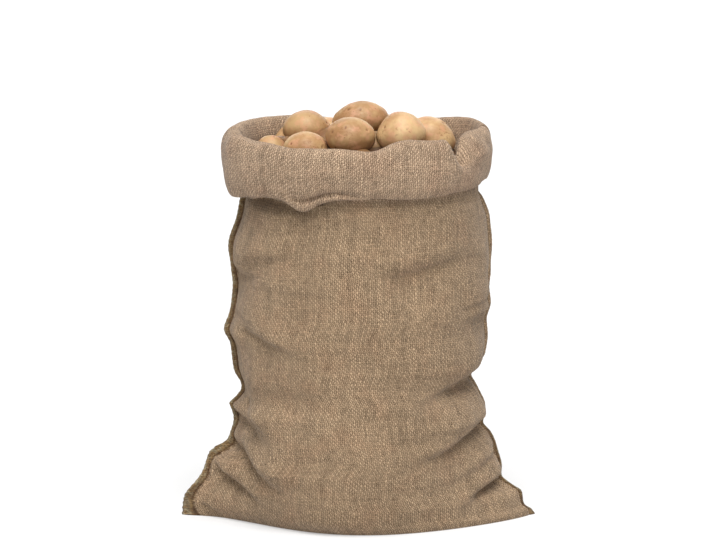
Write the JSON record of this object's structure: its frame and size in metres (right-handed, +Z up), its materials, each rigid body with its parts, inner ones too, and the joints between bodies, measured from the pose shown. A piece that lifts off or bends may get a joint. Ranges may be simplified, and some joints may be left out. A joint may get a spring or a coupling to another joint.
{
  "type": "hessian sack filled with potatoes",
  "caption": "Open-topped woven hessian sack with a rolled-down cuff, side seams and spread lower corners, standing full of potatoes that show in its mouth.",
  "frame": {"origin": "on the floor under the middle of the sack, on its flat bottom", "axes": "+Z up the sack, +X from the left side seam to the right one, the front faces -Y"},
  "size_m": [0.5801, 0.3534, 0.6895],
  "materials": {
    "hessian": "coarse plain-woven jute, matt and slightly hairy",
    "potato_skin": "pale tan potato skin, satin, freckled with darker spots and eyes"
  },
  "bodies": {
    "root": {"sack": "hessian", "potato_front_middle": "potato_skin", "potato_front_left": "potato_skin", "potato_front_right": "potato_skin", "potato_middle_left": "potato_skin", "potato_middle": "potato_skin", "potato_middle_right": "potato_skin", "potato_left": "potato_skin", "potato_back_left": "potato_skin", "potato_back_middle_left": "potato_skin", "potato_back_middle_right": "potato_skin", "potato_back_right": "potato_skin", "potato_fill": "potato_skin"}
  },
  "joints": []
}
